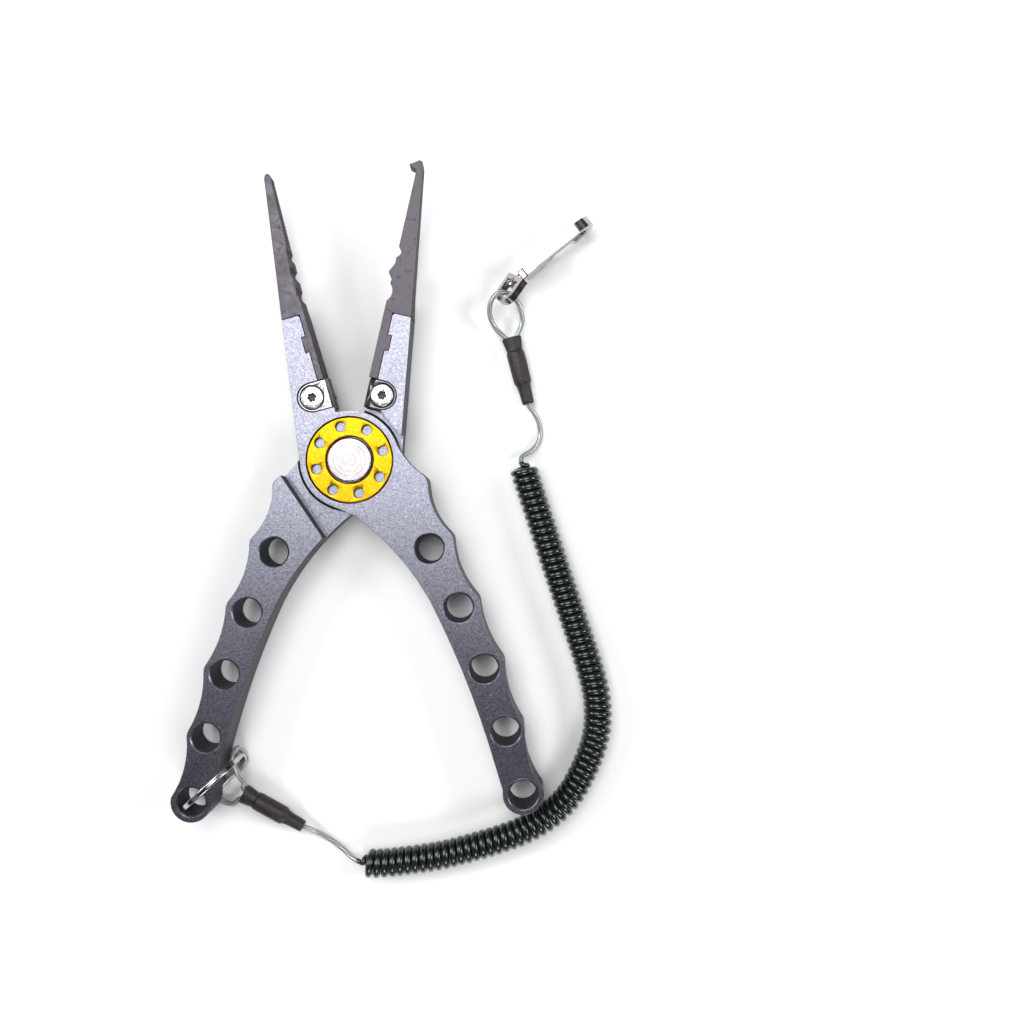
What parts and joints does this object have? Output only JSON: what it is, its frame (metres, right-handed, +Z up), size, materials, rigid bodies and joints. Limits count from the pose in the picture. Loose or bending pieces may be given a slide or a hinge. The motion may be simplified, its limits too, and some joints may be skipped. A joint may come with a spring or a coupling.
{
  "type": "fishing pliers",
  "caption": "Fishing pliers with replaceable hooked and toothed jaws, side cutters, finger-scalloped drilled handles, a sprung pivot and a coiled safety lanyard with a swivel snap hook.",
  "frame": {"origin": "on the pivot axis, at the plane that the lying tool rests on, which is the back of the pivot nut and of the pivot boss", "axes": "+Y along the centre line of the closed pliers towards the jaws, +Z up out of the front face, +X to the side of the front lever's handle and of the coiled lanyard"},
  "size_m": [0.1275, 0.2089, 0.0224],
  "materials": {
    "lever_alloy": "bead-blasted grey anodised, satin, with bright chamfered edges",
    "jaw_steel": "dark heat-treated, mottled, satin",
    "cutter_steel": "ground bright",
    "screw_steel": "bright, finely turned",
    "pivot_steel": "turned face with circular marks",
    "gold_anodised": "yellow-gold anodised, satin",
    "spring_steel": "bright wire and strip",
    "bearing_bronze": "plain sintered bronze",
    "bright_nickel": "bright nickel plate",
    "cable": "clear-coated stainless wire rope",
    "coil_jacket": "smoke-black glossy jacket over wire rope",
    "heat_shrink": "matte black heat-shrink tube",
    "ferrule_alloy": "plain pressed ferrule"
  },
  "bodies": {
    "rear_half": {"rear_lever": "lever_alloy", "rear_jaw": "jaw_steel", "rear_cutter": "cutter_steel", "rear_cutter_screw": "screw_steel", "pivot_bolt": "pivot_steel", "pivot_nut": "pivot_steel", "rear_dial_ring": "gold_anodised", "return_spring": "spring_steel", "thrust_washer": "bearing_bronze"},
    "front_half": {"front_lever": "lever_alloy", "front_jaw": "jaw_steel", "front_cutter": "cutter_steel", "front_cutter_screw": "screw_steel", "front_dial_ring": "gold_anodised", "pivot_bushing": "bearing_bronze"},
    "lanyard": {"split_ring": "bright_nickel", "rear_cable_eye": "cable", "rear_ferrule": "ferrule_alloy", "rear_crimp_sleeve": "heat_shrink", "rear_lead": "cable", "lanyard_coil": "coil_jacket", "front_lead": "cable", "front_crimp_sleeve": "heat_shrink", "front_ferrule": "ferrule_alloy", "front_cable_eye": "cable", "swivel_bow": "bright_nickel"},
    "hook": {"swivel_post": "bright_nickel", "hook_body": "bright_nickel", "trigger_pin": "pivot_steel", "trigger_spring": "spring_steel"},
    "trigger": {"hook_trigger": "spring_steel"}
  },
  "joints": [
    {"name": "jaw_pivot", "type": "hinge", "parent": "rear_half", "child": "front_half", "pos_m": [0, 0, 0.0087], "axis": [0, 0, -1], "range_deg": [0, 28.2], "stiffness_Nm_per_rad": 0.4, "springref_deg": -28.65},
    {"name": "lanyard_swing", "type": "hinge", "parent": "rear_half", "child": "lanyard", "pos_m": [-0.04533, -0.09789, 0.0087], "axis": [0, 0, -1], "range_deg": [0, 50]},
    {"name": "hook_swivel", "type": "hinge", "parent": "lanyard", "child": "hook", "pos_m": [0.0503, 0.0553, 0.006], "axis": [0.7815, 0.6239, 0], "continuous": true},
    {"name": "trigger_pivot", "type": "hinge", "parent": "hook", "child": "trigger", "pos_m": [0.05405, 0.05829, 0.0021], "axis": [0.6239, -0.7815, 0], "range_deg": [0, 18], "stiffness_Nm_per_rad": 0.01, "springref_deg": -17.19}
  ]
}
